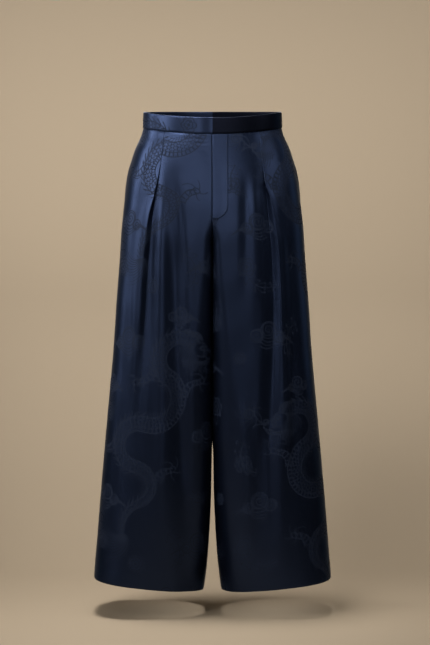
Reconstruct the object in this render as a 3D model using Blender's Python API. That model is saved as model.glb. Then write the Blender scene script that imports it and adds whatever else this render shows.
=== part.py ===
# Wide-leg trousers of figured satin, standing open as they are worn, with nobody in them.
# Metres. The origin is the middle of the waist at the waistband's top edge, +Z is up,
# the front faces -Y, and +X is the wearer's left.
import math

import bmesh
import bpy
import numpy as np

# Driving sizes
LENGTH = 1.000
BAND_HEIGHT = 0.034
BAND_WALL = 0.0022
BAND_UNDERLAP = 0.030
CLOTH_WALL = 0.0012
PLACKET_WALL = 0.0010
SEAM_GAP = 0.0003
LAID_GAP = 0.00045
SIDE_LINE = 0.005
FORK_DROP = 0.298
FRONT_RISE_TURN = 0.212
BACK_RISE_TURN = 0.150
FRONT_DIP = 0.0105
FRONT_DIP_END = 0.200
HEM_LIFT = 0.026
HEM_LIFT_START = 0.450
FLY_WIDTH = 0.032
FLY_STRAIGHT_END = 0.188
FLY_TIP = 0.217
FLY_TIP_WIDTH = 0.004
POCKET_TOP = 0.058
POCKET_BOTTOM = 0.190
POCKET_GAPE = 0.0022
POCKET_EDGE = 0.030
POCKET_FRONT_REACH = 0.024
POCKET_BACK_REACH = 0.014
OUTER_ROUNDNESS = 2.6
CORNER_ROUNDNESS = 2.3
PLEAT_INNER_BLEND = 0.027
PLEAT_OUTER_BLEND = 0.030
PLEAT_CLOSED_LAP = 0.004
FOLD_FADE_SHARE = 0.3
FOLD_EDGE_FADE = 0.020
POCKET_GAPE_SHAPE = 0.7
TUCK_END = 0.020
INSEAM_FADE = 0.020
HEM_LIFT_LIMIT = 1.02
SHARP_ANGLE = 40.0

# Grid sizes
DROPS = (
    0.034, 0.045, 0.058, 0.075, 0.095, 0.115, 0.140, 0.165, 0.190, 0.215, 0.240,
    0.260, 0.275, 0.286, 0.293, 0.298, 0.312, 0.335, 0.365, 0.400, 0.440, 0.485,
    0.530, 0.580, 0.630, 0.680, 0.730, 0.780, 0.830, 0.885, 0.940, 1.000,
)
BAND_ROWS = 4
BAND_COLUMNS = 26
EDGE_COLUMNS = 5
EDGE_REACH = 0.012
FRONT_INNER_COLUMNS = 8
FRONT_OUTER_COLUMNS = 8
BACK_COLUMNS = 12
FLY_STRAIGHT_ROWS = 6
FLY_CURVED_ROWS = 9
FLY_COLUMNS = 6
POCKET_COLUMNS = 3
UNDERLAP_COLUMNS = 6
UNDERLAP_END = 0.001
PLEAT_COLUMN_OFFSETS = (-0.020, -0.008, 0.0)
CURVE_SAMPLES = 60
RUN_SAMPLES = 30
TANGENT_REACH = 0.001
LEAST_STEP = 1e-9


def table(names, rows):
    return {name: np.array([row[i] for row in rows]) for i, name in enumerate(names)}


# Half width at the side seam, and the depth before and behind the middle, at each drop
BODY = table(("drop", "half_width", "front", "back"), (
    (0.000, 0.1425, 0.0920, 0.0930),
    (0.034, 0.1440, 0.0950, 0.0960),
    (0.044, 0.1460, 0.0970, 0.0985),
    (0.058, 0.1514, 0.1000, 0.1030),
    (0.079, 0.1598, 0.1035, 0.1090),
    (0.100, 0.1660, 0.1065, 0.1140),
    (0.120, 0.1722, 0.1085, 0.1180),
    (0.141, 0.1766, 0.1105, 0.1215),
    (0.162, 0.1797, 0.1120, 0.1245),
    (0.183, 0.1822, 0.1130, 0.1265),
    (0.204, 0.1850, 0.1135, 0.1275),
    (0.245, 0.1893, 0.1140, 0.1270),
    (0.300, 0.1928, 0.1130, 0.1245),
    (0.392, 0.2000, 0.1105, 0.1225),
    (0.500, 0.2072, 0.1085, 0.1225),
    (0.605, 0.2166, 0.1070, 0.1235),
    (0.715, 0.2262, 0.1055, 0.1250),
    (0.830, 0.2355, 0.1040, 0.1270),
    (0.940, 0.2441, 0.1025, 0.1290),
    (1.000, 0.2492, 0.1015, 0.1305),
))

# Half of the space between the legs, the line where each leg stands fullest, and how
# far its inner corner is rounded off
LEG = table(("drop", "space", "apex", "corner"), (
    (0.000, 0.00015, 0.010, 0.010),
    (0.150, 0.00015, 0.012, 0.020),
    (0.298, 0.00015, 0.020, 0.028),
    (0.400, 0.00016, 0.032, 0.038),
    (0.550, 0.00018, 0.052, 0.052),
    (0.680, 0.00030, 0.070, 0.064),
    (0.715, 0.00180, 0.075, 0.068),
    (0.792, 0.00300, 0.086, 0.076),
    (0.856, 0.00560, 0.102, 0.086),
    (0.941, 0.01120, 0.120, 0.098),
    (1.000, 0.01800, 0.135, 0.108),
))

# Each front's knife pleat: its place across the front, how far it laps (below zero it
# has opened into a wave of that width), and half its step
PLEAT = {
    "right": table(("drop", "across", "lap", "step"), (
        (0.034, 0.0990, 0.0120, 0.0016),
        (0.095, 0.1055, 0.0115, 0.0016),
        (0.112, 0.1080, 0.0110, 0.0016),
        (0.141, 0.1135, 0.0070, 0.0020),
        (0.161, 0.1175, 0.0020, 0.0026),
        (0.222, 0.1250, -0.0070, 0.0044),
        (0.305, 0.1325, -0.0100, 0.0052),
        (0.408, 0.1375, -0.0125, 0.0048),
        (0.511, 0.1440, -0.0150, 0.0028),
        (0.614, 0.1500, -0.0200, 0.0010),
        (1.000, 0.1600, -0.0300, 0.0003),
    )),
    "left": table(("drop", "across", "lap", "step"), (
        (0.034, 0.0965, 0.0120, 0.0016),
        (0.090, 0.1020, 0.0115, 0.0016),
        (0.108, 0.1040, 0.0110, 0.0016),
        (0.135, 0.1070, 0.0040, 0.0026),
        (0.161, 0.1095, -0.0090, 0.0038),
        (0.222, 0.1170, -0.0130, 0.0050),
        (0.305, 0.1240, -0.0170, 0.0058),
        (0.408, 0.1270, -0.0185, 0.0060),
        (0.511, 0.1240, -0.0250, 0.0056),
        (0.614, 0.1180, -0.0330, 0.0042),
        (0.737, 0.1040, -0.0390, 0.0020),
        (1.000, 0.0960, -0.0400, 0.0005),
    )),
}

# Large soft folds: troughs below zero, ridges above
FOLD_COLUMNS = ("panel", "start", "end", "across_start", "across_end", "height", "width")
FOLDS = (
    ("front_right", 0.090, 0.950, 0.109, 0.104, 0.0036, 0.021),
    ("front_right", 0.100, 0.900, 0.083, 0.058, -0.0074, 0.028),
    ("front_right", 0.560, 1.140, 0.062, 0.046, -0.0055, 0.040),
    ("front_left", 0.100, 0.440, 0.087, 0.092, 0.0022, 0.018),
    ("front_left", 0.430, 0.800, 0.160, 0.172, -0.0022, 0.014),
    ("front_left", 0.520, 1.000, 0.062, 0.070, 0.0022, 0.026),
    ("back_right", 0.290, 0.980, 0.072, 0.098, -0.0050, 0.030),
    ("back_right", 0.260, 0.900, 0.138, 0.158, -0.0036, 0.024),
    ("back_right", 0.340, 0.960, 0.104, 0.128, 0.0026, 0.024),
    ("back_left", 0.280, 0.940, 0.064, 0.082, -0.0044, 0.028),
    ("back_left", 0.310, 1.000, 0.128, 0.146, -0.0046, 0.030),
    ("back_left", 0.360, 0.900, 0.096, 0.112, 0.0024, 0.022),
)

SATIN = (0.013, 0.020, 0.047)
SATIN_DARK = (0.010, 0.015, 0.036)


def read(columns, name, drop):
    # A smooth curve through the table's rows that never overshoots them
    places = columns["drop"]
    values = columns[name]
    steps = np.diff(places)
    rises = np.diff(values) / steps
    slopes = np.zeros(len(values))
    slopes[0] = rises[0]
    slopes[-1] = rises[-1]
    for i in range(1, len(values) - 1):
        if rises[i - 1] * rises[i] > 0:
            slopes[i] = 2 * rises[i - 1] * rises[i] / (rises[i - 1] + rises[i])
    k = min(max(int(np.searchsorted(places, drop)) - 1, 0), len(steps) - 1)
    t = (drop - places[k]) / steps[k]
    start = values[k] * (1 + 2 * t) * (1 - t) ** 2 + slopes[k] * steps[k] * t * (1 - t) ** 2
    end = values[k + 1] * t * t * (3 - 2 * t) - slopes[k + 1] * steps[k] * t * t * (1 - t)
    return start + end


def ease(value):
    value = np.clip(value, 0.0, 1.0)
    return value * value * (3 - 2 * value)


def hump(distance, width):
    return np.where(np.abs(distance) < width, 0.5 + 0.5 * np.cos(np.pi * distance / width), 0.0)


def outward(tangents, side):
    # The front's points run with the outside on the right hand, the back's on the left
    turn = 1.0 if side == "front" else -1.0
    return np.stack([turn * tangents[:, 1], -turn * tangents[:, 0]], axis=1)


def rise_depth(side, full, drop):
    # How far the crotch seam has curved in from the centre seam's line
    start = FRONT_RISE_TURN if side == "front" else BACK_RISE_TURN
    share = np.clip((drop - start) / (FORK_DROP - start), 0.0, 1.0)
    return full * (1 - math.sqrt(1 - share * share))


def half_section(side, drop):
    # The middle of the wall of one quarter, from the centre or inseam edge to the side seam
    half = read(BODY, "half_width", drop)
    sign = -1.0 if side == "front" else 1.0
    full = read(BODY, side, drop) - sign * SIDE_LINE
    curved = rise_depth(side, full, drop)
    inner = read(LEG, "space", drop) + ease(curved / INSEAM_FADE) * CLOTH_WALL / 2
    apex = inner + read(LEG, "apex", drop)
    corner = min(read(LEG, "corner", drop), curved)
    turns = np.linspace(0, math.pi / 2, CURVE_SAMPLES)
    run_depths = np.linspace(full - curved, full - corner, RUN_SAMPLES)[:-1]
    run = np.stack([np.full(len(run_depths), inner), run_depths], axis=1)
    corner_x = apex - (apex - inner) * np.cos(turns) ** (2 / CORNER_ROUNDNESS)
    corner_depth = full - corner + corner * np.sin(turns) ** (2 / CORNER_ROUNDNESS)
    outer_x = apex + (half - apex) * np.sin(turns) ** (2 / OUTER_ROUNDNESS)
    outer_depth = full * np.cos(turns) ** (2 / OUTER_ROUNDNESS)
    corner_points = np.stack([corner_x, corner_depth], axis=1)
    outer_points = np.stack([outer_x, outer_depth], axis=1)
    points = np.concatenate([run, corner_points, outer_points[1:]])
    points[:, 1] = SIDE_LINE + sign * points[:, 1]
    lengths = np.concatenate([[0.0], np.cumsum(np.hypot(*np.diff(points, axis=0).T))])
    keep = np.concatenate([[True], np.diff(lengths) > LEAST_STEP])
    return points[keep], lengths[keep], max(curved - corner, 0.0)


def along(section, lengths, places, side):
    # Points of a section at given lengths from its first edge, and the way out there
    points = np.stack([np.interp(places, lengths, section[:, i]) for i in range(2)], axis=1)
    ends = [
        np.stack([np.interp(places + reach, lengths, section[:, i]) for i in range(2)], axis=1)
        for reach in (-TANGENT_REACH, TANGENT_REACH)
    ]
    tangents = ends[1] - ends[0]
    tangents /= np.linalg.norm(tangents, axis=1)[:, None]
    return points, outward(tangents, side)


def fold_height(panel, across, drop):
    height = np.zeros(len(across))
    for row in FOLDS:
        fold = dict(zip(FOLD_COLUMNS, row))
        if fold["panel"] == panel and fold["start"] < drop < fold["end"]:
            share = (drop - fold["start"]) / (fold["end"] - fold["start"])
            middle = fold["across_start"] + share * (fold["across_end"] - fold["across_start"])
            swell = ease(share / FOLD_FADE_SHARE) * ease((1 - share) / FOLD_FADE_SHARE)
            height += fold["height"] * swell * hump(across - middle, fold["width"])
    return height


def spread(run, end, count):
    # Even places, closer together along the crotch seam and the inseam
    near = np.linspace(SEAM_GAP / 2, run + EDGE_REACH, EDGE_COLUMNS)
    return np.concatenate([near, np.linspace(near[-1], end, count + 1)[1:]])


def front_columns(hand, section, lengths, run, drop):
    # Lengths from the centre edge, and heights, of a front's columns at one drop
    pleat = PLEAT[hand]
    fold_line = np.interp(read(pleat, "across", drop), section[:, 0], lengths)
    lap = read(pleat, "lap", drop)
    step = read(pleat, "step", drop)
    trough = fold_line + max(lap, 0.0)
    ridge = fold_line + max(-lap, 0.0)
    opened = ease(1 - lap / PLEAT_CLOSED_LAP)
    third = (ridge - trough) * opened / 3
    near = np.array(PLEAT_COLUMN_OFFSETS)
    inner = spread(run, trough + near[0], FRONT_INNER_COLUMNS)[:-1]
    outer_start = ridge - near[0]
    outer = np.linspace(outer_start, lengths[-1] - SEAM_GAP / 2, FRONT_OUTER_COLUMNS + 1)[1:]
    before = np.concatenate([inner, trough + near])
    after = np.concatenate([ridge - near[::-1], outer])
    places = np.concatenate([before, [trough + third, ridge - third], after])
    heights = np.concatenate([
        -step * hump(before - trough, PLEAT_INNER_BLEND),
        [-step * opened / 3, step * opened / 3],
        step * hump(after - ridge, PLEAT_OUTER_BLEND),
    ])
    return places, heights


def pocket_height(drop, to_side):
    # The front's edge stands a little proud along the mouth of the pocket
    share = (drop - POCKET_TOP) / (POCKET_BOTTOM - POCKET_TOP)
    if not 0 < share < 1:
        return np.zeros(len(to_side))
    return POCKET_GAPE * math.sin(math.pi * share) ** POCKET_GAPE_SHAPE * ease(1 - to_side / POCKET_EDGE)


def panel_path(side, hand, drop, gapes=True):
    section, lengths, run = half_section(side, drop)
    if side == "front":
        places, heights = front_columns(hand, section, lengths, run, drop)
    else:
        places = spread(run, lengths[-1] - SEAM_GAP / 2, BACK_COLUMNS)
        heights = np.zeros(len(places))
    points, ways = along(section, lengths, places, side)
    to_side = lengths[-1] - places
    edges = ease(places / FOLD_EDGE_FADE) * ease(to_side / FOLD_EDGE_FADE)
    heights = heights + edges * fold_height(side + "_" + hand, points[:, 0], drop)
    if side == "front" and gapes:
        heights = heights + pocket_height(drop, to_side)
    return points + ways * heights[:, None]


def offset(path, distance, side):
    # The path moved out by a distance, with its corners mitred
    tangents = np.diff(path, axis=0)
    tangents /= np.linalg.norm(tangents, axis=1)[:, None]
    ways = outward(tangents, side)
    mitres = np.empty_like(path)
    mitres[0] = ways[0]
    mitres[-1] = ways[-1]
    together = 1 + np.sum(ways[:-1] * ways[1:], axis=1)
    mitres[1:-1] = (ways[:-1] + ways[1:]) / together[:, None]
    return path + mitres * distance


def height_of(side, drop, across):
    # Z of a point: the front dips at the waist, and the hem lifts towards the side seam
    half = read(BODY, "half_width", drop)
    inner = read(LEG, "space", drop)
    dip = 0.0
    if side == "front":
        fade = 1 - ease((drop - BAND_HEIGHT) / (FRONT_DIP_END - BAND_HEIGHT))
        dip = FRONT_DIP * fade * np.clip(1 - (across / half) ** 2, 0.0, 1.0)
    lift_share = ease((drop - HEM_LIFT_START) / (LENGTH - HEM_LIFT_START))
    lift = HEM_LIFT * lift_share * np.clip((across - inner) / (half - inner), 0.0, HEM_LIFT_LIMIT)
    return -drop - dip + lift


def placed(flat, drop, side, sign):
    # A row of plan points made three-dimensional, on the wearer's left (+1) or right (-1)
    across = np.abs(flat[:, 0])
    return np.stack([sign * flat[:, 0], flat[:, 1], height_of(side, drop, across)], axis=1)


def wall_solid(name, outer, inner, colour, roughness):
    # A closed wall between two grids of points, rows by columns
    rows, columns = outer.shape[:2]
    mesh = bpy.data.meshes.new(name)
    body = bmesh.new()
    sheets = [[[body.verts.new(point) for point in row] for row in grid] for grid in (outer, inner)]
    for sheet in sheets:
        for r in range(rows - 1):
            for c in range(columns - 1):
                corners = (sheet[r][c], sheet[r][c + 1], sheet[r + 1][c + 1], sheet[r + 1][c])
                body.faces.new(corners)
    edge = [(0, c) for c in range(columns)]
    edge += [(r, columns - 1) for r in range(1, rows)]
    edge += [(rows - 1, c) for c in range(columns - 2, -1, -1)]
    edge += [(r, 0) for r in range(rows - 2, 0, -1)]
    for (r0, c0), (r1, c1) in zip(edge, edge[1:] + edge[:1]):
        body.faces.new((sheets[0][r0][c0], sheets[0][r1][c1], sheets[1][r1][c1], sheets[1][r0][c0]))
    bmesh.ops.recalc_face_normals(body, faces=body.faces)
    body.to_mesh(mesh)
    body.free()
    mesh.shade_smooth()
    mesh.set_sharp_from_angle(angle=math.radians(SHARP_ANGLE))
    mesh.materials.append(cloth_material(name, colour, roughness))
    piece = bpy.data.objects.new(name, mesh)
    bpy.context.scene.collection.objects.link(piece)
    return piece


def cloth_material(name, colour, roughness):
    material = bpy.data.materials.new(name + "_satin")
    material.use_nodes = True
    shader = material.node_tree.nodes["Principled BSDF"]
    shader.inputs["Base Color"].default_value = (*colour, 1.0)
    shader.inputs["Roughness"].default_value = roughness
    shader.inputs["Metallic"].default_value = 0.0
    return material


def make_panel(side, hand):
    sign = 1.0 if hand == "left" else -1.0
    outer_rows = []
    inner_rows = []
    for drop in DROPS:
        path = panel_path(side, hand, drop)
        level = drop + (SEAM_GAP / 2 if drop == DROPS[0] else 0.0)
        for rows, shift in ((outer_rows, CLOTH_WALL / 2), (inner_rows, -CLOTH_WALL / 2)):
            flat = offset(path, shift, side)
            flat[:, 0] = np.maximum(flat[:, 0], SEAM_GAP / 2)
            rows.append(placed(flat, level, side, sign))
    return wall_solid(f"{side}_{hand}", np.array(outer_rows), np.array(inner_rows), SATIN, 0.4)


def band_path(drop):
    # Half of the waist, from the centre front round the side to the centre back
    front = half_section("front", drop)[0]
    back = half_section("back", drop)[0]
    path = np.concatenate([front, back[::-1][1:]])
    path[0, 0] = 0.0
    path[-1, 0] = 0.0
    return path


def even_points(path, start, end, count):
    lengths = np.concatenate([[0.0], np.cumsum(np.hypot(*np.diff(path, axis=0).T))])
    places = np.linspace(start, lengths[-1] - end, count)
    return np.stack([np.interp(places, lengths, path[:, i]) for i in range(2)], axis=1)


def make_waistband(hand):
    sign = 1.0 if hand == "left" else -1.0
    outer_rows = []
    inner_rows = []
    for drop in np.linspace(0.0, BAND_HEIGHT - SEAM_GAP / 2, BAND_ROWS):
        path = band_path(drop)
        if hand == "left":
            points = even_points(path, SEAM_GAP / 2, SEAM_GAP / 2, BAND_COLUMNS)
        else:
            # The right half draws in behind the left half and runs on under it
            points = even_points(path, 0.0, SEAM_GAP / 2, BAND_COLUMNS)
            under_x = np.linspace(-BAND_UNDERLAP, -UNDERLAP_END, UNDERLAP_COLUMNS)
            front = half_section("front", drop)[0]
            under_y = np.interp(np.abs(under_x), front[:, 0], front[:, 1])
            points = np.concatenate([np.stack([under_x, under_y], axis=1), points])
            tucked = (BAND_WALL + SEAM_GAP) * (1 - ease(points[:, 0] / TUCK_END))
            points[:, 1] += np.where(points[:, 1] < SIDE_LINE, tucked, 0.0)
        for rows, shift in ((outer_rows, BAND_WALL / 2), (inner_rows, -BAND_WALL / 2)):
            flat = offset(points, shift, "front")
            front_part = placed(flat, drop, "front", sign)
            back_part = placed(flat, drop, "back", sign)
            behind = flat[:, 1] > SIDE_LINE
            front_part[behind, 2] = back_part[behind, 2]
            rows.append(front_part)
    name = "waistband_" + hand
    return wall_solid(name, np.array(outer_rows), np.array(inner_rows), SATIN_DARK, 0.35)


def make_fly():
    # The J-shaped fly piece lies on the left front from the centre seam outwards
    outer_rows = []
    inner_rows = []
    straight = np.linspace(BAND_HEIGHT + SEAM_GAP / 2, FLY_STRAIGHT_END, FLY_STRAIGHT_ROWS)
    turns = np.linspace(0, math.pi / 2, FLY_CURVED_ROWS + 1)[1:]
    curved = FLY_STRAIGHT_END + (FLY_TIP - FLY_STRAIGHT_END) * np.sin(turns)
    for drop in np.concatenate([straight, curved]):
        share = max(drop - FLY_STRAIGHT_END, 0.0) / (FLY_TIP - FLY_STRAIGHT_END)
        curve = math.sqrt(max(1 - share * share, 0.0))
        width = FLY_TIP_WIDTH + (FLY_WIDTH - FLY_TIP_WIDTH) * curve
        surface = offset(panel_path("front", "left", drop), CLOTH_WALL / 2, "front")
        across = np.linspace(SEAM_GAP, width, FLY_COLUMNS)
        on_panel = np.interp(across, surface[:, 0], surface[:, 1])
        for rows, lift in ((inner_rows, LAID_GAP), (outer_rows, LAID_GAP + PLACKET_WALL)):
            flat = np.stack([across, on_panel - lift], axis=1)
            rows.append(placed(flat, drop, "front", 1.0))
    return wall_solid("fly", np.array(outer_rows), np.array(inner_rows), SATIN, 0.4)


def side_end(path, reach):
    # Points along the last stretch of a panel's path, ending at its side seam
    lengths = np.concatenate([[0.0], np.cumsum(np.hypot(*np.diff(path, axis=0).T))])
    places = lengths[-1] - np.linspace(reach, 0.0, POCKET_COLUMNS)
    return np.stack([np.interp(places, lengths, path[:, i]) for i in range(2)], axis=1)


def make_pocket(hand):
    # The facing that closes the pocket's mouth from inside, along the side seam
    sign = 1.0 if hand == "left" else -1.0
    outer_rows = []
    inner_rows = []
    for drop in [drop for drop in DROPS if POCKET_TOP <= drop <= POCKET_BOTTOM]:
        front = side_end(panel_path("front", hand, drop, gapes=False), POCKET_FRONT_REACH)
        back = side_end(panel_path("back", hand, drop), POCKET_BACK_REACH)
        path = np.concatenate([front, back[::-1][1:]])
        for rows, extra in ((outer_rows, 0.0), (inner_rows, PLACKET_WALL)):
            flat = offset(path, -(CLOTH_WALL / 2 + LAID_GAP + extra), "front")
            rows.append(placed(flat, drop, "back", sign))
    name = "pocket_" + hand
    return wall_solid(name, np.array(outer_rows), np.array(inner_rows), SATIN_DARK, 0.5)


def main():
    for item in list(bpy.data.objects):
        bpy.data.objects.remove(item, do_unlink=True)
    for hand in ("right", "left"):
        make_panel("front", hand)
        make_panel("back", hand)
        make_waistband(hand)
        make_pocket(hand)
    make_fly()


main()
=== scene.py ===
import math

import bpy
import numpy as np
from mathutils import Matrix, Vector


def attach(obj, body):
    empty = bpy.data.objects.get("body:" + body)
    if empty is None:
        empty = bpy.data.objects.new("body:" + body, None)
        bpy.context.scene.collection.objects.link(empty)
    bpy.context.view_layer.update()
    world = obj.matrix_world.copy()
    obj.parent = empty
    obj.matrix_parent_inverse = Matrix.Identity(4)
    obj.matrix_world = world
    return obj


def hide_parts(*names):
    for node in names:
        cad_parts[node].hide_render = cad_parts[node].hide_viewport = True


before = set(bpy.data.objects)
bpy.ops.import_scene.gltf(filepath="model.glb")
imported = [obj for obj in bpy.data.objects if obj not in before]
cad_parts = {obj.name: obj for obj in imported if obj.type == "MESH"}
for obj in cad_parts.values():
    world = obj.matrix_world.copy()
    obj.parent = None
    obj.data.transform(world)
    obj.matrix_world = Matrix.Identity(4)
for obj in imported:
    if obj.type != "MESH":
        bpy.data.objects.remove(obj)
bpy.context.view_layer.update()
print("frame loaded")

# Sizes of the cut in metres, the same as the solids'
cut = {
    "legsMeetEnd": 0.68,
    "length": 1.0,
    "bandHeight": 0.034,
    "bandWall": 0.0022,
    "bandUnderlap": 0.03,
    "sideLine": 0.005,
    "forkDrop": 0.298,
    "frontRiseTurn": 0.212,
    "backRiseTurn": 0.15,
    "frontDip": 0.0105,
    "frontDipEnd": 0.2,
    "hemLift": 0.026,
    "hemLiftStart": 0.45,
    "flyWidth": 0.032,
    "flyStraightEnd": 0.188,
    "flyTip": 0.217,
    "flyTipWidth": 0.004,
    "pocketTop": 0.058,
    "pocketBottom": 0.19,
    "pocketGape": 0.0022,
    "pocketPower": 0.7,
    "pocketEdge": 0.03,
    "outerRoundness": 2.6,
    "cornerRoundness": 2.3,
    "innerBlend": 0.027,
    "outerBlend": 0.03,
    "closedLap": 0.004,
}

# How finely the cloth is drawn, how thin it is, and how its edges turn
weave = {
    "rows": 250,
    "topRows": 11,
    "topRowsEnd": 0.06,
    "outerFace": 0.0005,
    "innerFace": -0.0001,
    "seamOverlap": 0.0002,
    "seamRoll": 0.0007,
    "seamRollReach": 0.003,
    "hemDepth": 0.032,
    "hemInnerFace": -0.0012,
    "hemTurn": 0.0015,
    "hemEdge": 0.0016,
    "hemOuterPinch": 0.0006,
    "hemInnerPinch": 0.0007,
    "hemLineDepth": 0.00022,
    "hemLineAbove": 0.001,
    "hemLineWidth": 0.003,
    "legGap": 0.00032,
    "forkFade": 0.02,
    "turnPoints": 180,
    "runPoints": 60,
    "tangentReach": 0.0015,
    "shortest": 1e-9,
    "seamColumns": 19,
    "seamColumnsReach": 0.012,
    "backColumns": 72,
    "backGrain": 55,
    "edgeFade": 0.02,
    "legsFade": 0.012,
    "legsRest": 0.02,
    "widestMitre": 0.35,
    "hemLiftMost": 1.02,
    "sharpTurn": 55,
}


def table(names, rows):
    # The rows are in millimetres
    return {name: np.array([row[i] / 1000 for row in rows]) for i, name in enumerate(names)}


bodyTable = table(("drop", "halfWidth", "front", "back"), (
    (0, 142.5, 92, 93),
    (34, 144, 95, 96),
    (44, 146, 97, 98.5),
    (58, 151.4, 100, 103),
    (79, 159.8, 103.5, 109),
    (100, 166, 106.5, 114),
    (120, 172.2, 108.5, 118),
    (141, 176.6, 110.5, 121.5),
    (162, 179.7, 112, 124.5),
    (183, 182.2, 113, 126.5),
    (204, 185, 113.5, 127.5),
    (245, 189.3, 114, 127),
    (300, 192.8, 113, 124.5),
    (392, 200, 110.5, 122.5),
    (500, 207.2, 108.5, 122.5),
    (605, 216.6, 107, 123.5),
    (715, 226.2, 105.5, 125),
    (830, 235.5, 104, 127),
    (940, 244.1, 102.5, 129),
    (1000, 249.2, 101.5, 130.5),
))

legTable = table(("drop", "space", "apex", "corner"), (
    (0, 0.15, 10, 10),
    (150, 0.15, 12, 20),
    (298, 0.15, 20, 28),
    (400, 0.16, 32, 38),
    (550, 0.18, 52, 52),
    (680, 0.3, 70, 64),
    (715, 1.8, 75, 68),
    (792, 3, 86, 76),
    (856, 5.6, 102, 86),
    (941, 11.2, 120, 98),
    (1000, 18, 135, 108),
))

# The stitched top of each pleat lies flatter here than on the solids
pleatTables = {
    "right": table(("drop", "across", "lap", "step"), (
        (34, 99, 12, 0.4),
        (95, 105.5, 11.5, 0.5),
        (112, 108, 11, 1),
        (141, 113.5, 7, 2),
        (161, 117.5, 2, 2.6),
        (222, 125, -7, 4.4),
        (305, 132.5, -10, 5.2),
        (408, 137.5, -12.5, 4.8),
        (511, 144, -15, 2.8),
        (614, 150, -20, 1),
        (1000, 160, -30, 0.3),
    )),
    "left": table(("drop", "across", "lap", "step"), (
        (34, 96.5, 12, 0.4),
        (90, 102, 11.5, 0.5),
        (106, 104, 10, 1),
        (125, 106.2, 6, 1.7),
        (150, 109.2, 1, 3.1),
        (175, 112.2, -6, 4.6),
        (222, 117.2, -10, 6),
        (305, 124, -12.5, 6.8),
        (408, 127, -14, 6.8),
        (511, 124, -21, 6.2),
        (614, 118, -31, 4.6),
        (737, 104, -39, 2),
        (1000, 96, -40, 0.5),
    )),
}

# How finely a pleat and the cloth beside it are drawn
pleatDraw = {
    "near": 0.02,
    "innerColumns": 32,
    "nearColumns": 13,
    "outerColumns": 31,
    "crowding": 1.8,
    "turnPoints": 6,
}

# Folds that run down each panel, in millimetres: troughs below zero, ridges above.
# A fold's lean, in thousandths, makes it wider on the side seam's side
foldColumns = ("start", "end", "acrossStart", "acrossEnd", "height", "width", "lean")
folds = {
    "front_right": (
        (90, 950, 109, 104, 3.6, 21, 0),
        (100, 900, 83, 58, -7.4, 28, 0),
        (560, 1140, 62, 46, -5.5, 40, 0),
        (250, 900, 175, 173, -1.2, 18, 0),
        (104, 380, 82, 49, -1.2, 11, 300),
    ),
    "front_left": (
        (100, 400, 69, 66, -1.3, 18, 0),
        (100, 440, 85, 90, 1.6, 22, 0),
        (430, 800, 160, 172, -2.2, 14, 0),
        (520, 1000, 62, 70, 2.2, 26, 0),
        (560, 930, 118, 126, -1.4, 16, 200),
    ),
    "back_right": (
        (290, 980, 72, 98, -5, 30, 0),
        (260, 900, 138, 158, -3.6, 24, 0),
        (340, 960, 104, 128, 2.6, 24, 0),
    ),
    "back_left": (
        (280, 940, 64, 82, -4.4, 28, 0),
        (310, 1000, 128, 146, -4.6, 30, 0),
        (360, 900, 96, 112, 2.4, 22, 0),
    ),
}
foldFade = 0.3

# Short drag creases that run across the cloth, in millimetres
dragColumns = ("drop", "acrossStart", "acrossEnd", "sag", "height", "width")
drags = {
    "front_right": (
        (44, -10, 70, 1, -0.8, 3.2),
        (53, -10, 60, 1.2, -0.85, 3.8),
        (66, -10, 48, 1.4, -0.7, 4.2),
        (73, -10, 30, 1, -0.55, 3.2),
        (90, -10, 30, 1.6, -0.6, 4.4),
    ),
    "front_left": (
        (44, 30, 64, 1, -0.36, 3.2),
    ),
}
dragFades = (0.3, 0.6)
dragNear = 0.02

# Faint unevenness that every hanging cloth has: height, turns across and down, share of the seed
rippleWaves = ((0.00022, 71, 9, 1.0), (0.00016, 133, -17, 2.3), (0.00010, 47, 61, 1.7))
rippleSeeds = {"front_right": 0.3, "front_left": 2.1, "back_right": 4.4, "back_left": 5.6}
rippleStart = 0.05
rippleFade = 0.1


def readCurve(columns, name, drop):
    # A smooth curve through the table's rows that never overshoots them
    places = columns["drop"]
    values = columns[name]
    steps = np.diff(places)
    rises = np.diff(values) / steps
    slopes = np.zeros(len(values))
    slopes[0] = rises[0]
    slopes[-1] = rises[-1]
    for i in range(1, len(values) - 1):
        if rises[i - 1] * rises[i] > 0:
            slopes[i] = 2 * rises[i - 1] * rises[i] / (rises[i - 1] + rises[i])
    k = min(max(int(np.searchsorted(places, drop)) - 1, 0), len(steps) - 1)
    t = (drop - places[k]) / steps[k]
    start = values[k] * (1 + 2 * t) * (1 - t) ** 2 + slopes[k] * steps[k] * t * (1 - t) ** 2
    end = values[k + 1] * t * t * (3 - 2 * t) - slopes[k + 1] * steps[k] * t * t * (1 - t)
    return start + end


def ease(value):
    value = np.clip(value, 0.0, 1.0)
    return value * value * (3 - 2 * value)


def hump(distance, width):
    return np.where(np.abs(distance) < width, 0.5 + 0.5 * np.cos(np.pi * distance / width), 0.0)


def swelling(share, begins, ends):
    return ease(share / begins) * ease((1 - share) / ends)


def seamRoll(distance):
    # How far the cloth turns in at this distance from a seam
    return weave["seamRoll"] * np.clip(1 - distance / weave["seamRollReach"], 0, 1) ** 2


def runLengths(points):
    return np.concatenate([[0.0], np.cumsum(np.linalg.norm(np.diff(points, axis=0), axis=1))])


def pointsAt(places, lengths, path):
    return np.stack([np.interp(places, lengths, path[:, i]) for i in range(2)], axis=1)


def outward(tangents, side):
    turn = 1.0 if side == "front" else -1.0
    return np.stack([turn * tangents[:, 1], -turn * tangents[:, 0]], axis=1)


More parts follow.
